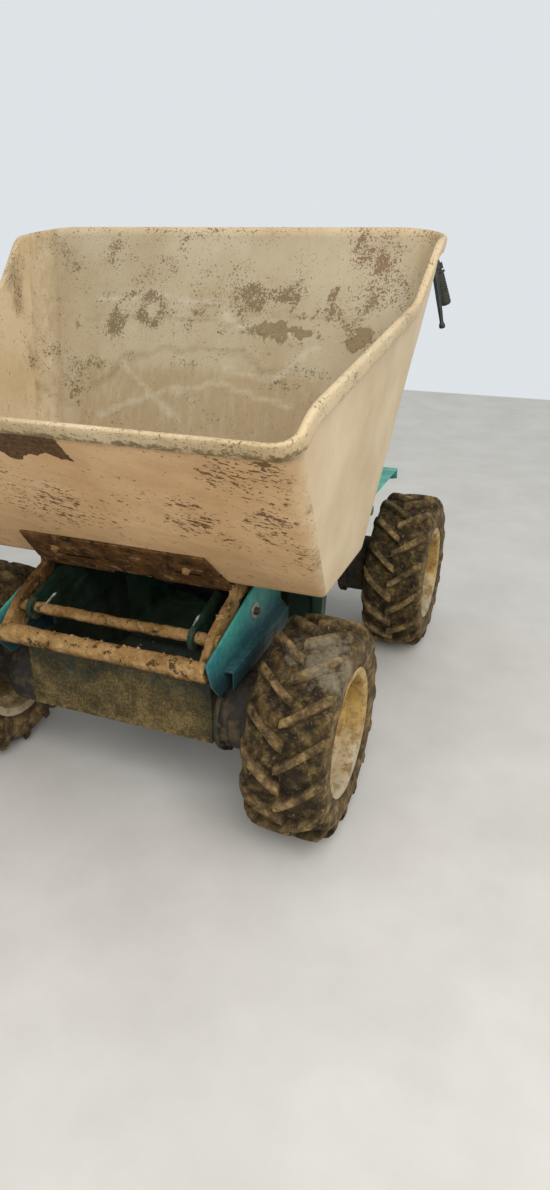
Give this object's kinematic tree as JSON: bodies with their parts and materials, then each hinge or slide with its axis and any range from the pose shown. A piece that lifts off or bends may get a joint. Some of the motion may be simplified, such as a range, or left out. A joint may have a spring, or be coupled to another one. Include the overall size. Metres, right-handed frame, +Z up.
{
  "type": "site dumper",
  "caption": "Compact walk-behind site dumper with four lugged wheels, a folded steel frame and a moulded skip that tips over its front end.",
  "frame": {"origin": "middle of the footprint's length and width, on the ground", "axes": "+Z up, front faces -Y, +X is the machine's left"},
  "size_m": [1.3286, 1.9922, 1.4922],
  "materials": {
    "tub_plastic": "moulded, weathered",
    "teal_paint": "painted, dirty",
    "muddy_steel": "caked with dried mud",
    "tyre": "muddy",
    "rim_paint": "cream paint, muddy",
    "black_rubber": "moulded",
    "motor_case": "cast, dirty",
    "bright_steel": "worn",
    "ram_chrome": "polished",
    "black_plastic": "moulded",
    "red_plastic": "moulded"
  },
  "bodies": {
    "chassis": {"main_frame": "teal_paint", "side_plates": "teal_paint", "pivot_rails": "teal_paint", "pivot_shaft": "muddy_steel", "rest_posts": "teal_paint", "rest_pads": "black_rubber", "rear_deck": "teal_paint", "deck_knuckles": "teal_paint", "battery_pack": "black_plastic", "handlebar_uprights": "black_plastic", "handlebar": "black_plastic", "grips": "black_rubber", "brake_levers": "black_plastic", "console": "black_plastic", "stop_button": "red_plastic", "key_switch": "bright_steel", "rear_bumper": "teal_paint", "bumper_stays": "teal_paint", "tow_clevis": "teal_paint", "ram_base": "teal_paint", "wheel_motor_front_left": "motor_case", "wheel_motor_front_right": "motor_case", "wheel_motor_rear_left": "motor_case", "wheel_motor_rear_right": "motor_case"},
    "skip": {"skip_tub": "tub_plastic", "tip_front_tube": "muddy_steel", "tip_arms": "muddy_steel", "skip_mount_plate": "muddy_steel", "skip_cradle": "muddy_steel", "ram_eye_lugs": "muddy_steel"},
    "bonnet": {"bonnet": "teal_paint", "bonnet_knuckles": "teal_paint", "bonnet_latch": "bright_steel"},
    "ram_barrel": {"ram_barrel": "black_plastic"},
    "ram_rod": {"ram_rod": "ram_chrome"},
    "wheel_front_left": {"tyre_front_left": "tyre", "rim_front_left": "rim_paint"},
    "wheel_front_right": {"tyre_front_right": "tyre", "rim_front_right": "rim_paint"},
    "wheel_rear_left": {"tyre_rear_left": "tyre", "rim_rear_left": "rim_paint"},
    "wheel_rear_right": {"tyre_rear_right": "tyre", "rim_rear_right": "rim_paint"}
  },
  "joints": [
    {"name": "spin_front_left", "type": "hinge", "parent": "chassis", "child": "wheel_front_left", "pos_m": [0.52, -0.538, 0.292], "axis": [1, 0, 0], "continuous": true},
    {"name": "spin_front_right", "type": "hinge", "parent": "chassis", "child": "wheel_front_right", "pos_m": [-0.52, -0.538, 0.292], "axis": [1, 0, 0], "continuous": true},
    {"name": "spin_rear_left", "type": "hinge", "parent": "chassis", "child": "wheel_rear_left", "pos_m": [0.52, 0.592, 0.292], "axis": [1, 0, 0], "continuous": true},
    {"name": "spin_rear_right", "type": "hinge", "parent": "chassis", "child": "wheel_rear_right", "pos_m": [-0.52, 0.592, 0.292], "axis": [1, 0, 0], "continuous": true},
    {"name": "skip_tip", "type": "hinge", "parent": "chassis", "child": "skip", "pos_m": [0, -0.656, 0.558], "axis": [1, 0, 0], "range_deg": [0, 75]},
    {"name": "ram_swing", "type": "hinge", "parent": "chassis", "child": "ram_barrel", "pos_m": [0, 0.022, 0.318], "axis": [1, 0, 0], "range_deg": [-4, 0]},
    {"name": "ram_slide", "type": "slide", "parent": "ram_barrel", "child": "ram_rod", "axis": [0, -0.8187, 0.5743], "range_m": [0, 0.34]},
    {"name": "bonnet_hinge", "type": "hinge", "parent": "chassis", "child": "bonnet", "pos_m": [0, 0.221, 0.6613], "axis": [1, 0, 0], "range_deg": [0, 70]}
  ],
  "couplings": [
    {"joint": "ram_swing", "follows": "skip_tip", "ratio": -0.04796},
    {"joint": "ram_slide", "follows": "skip_tip", "m_per_rad": 0.25786}
  ]
}
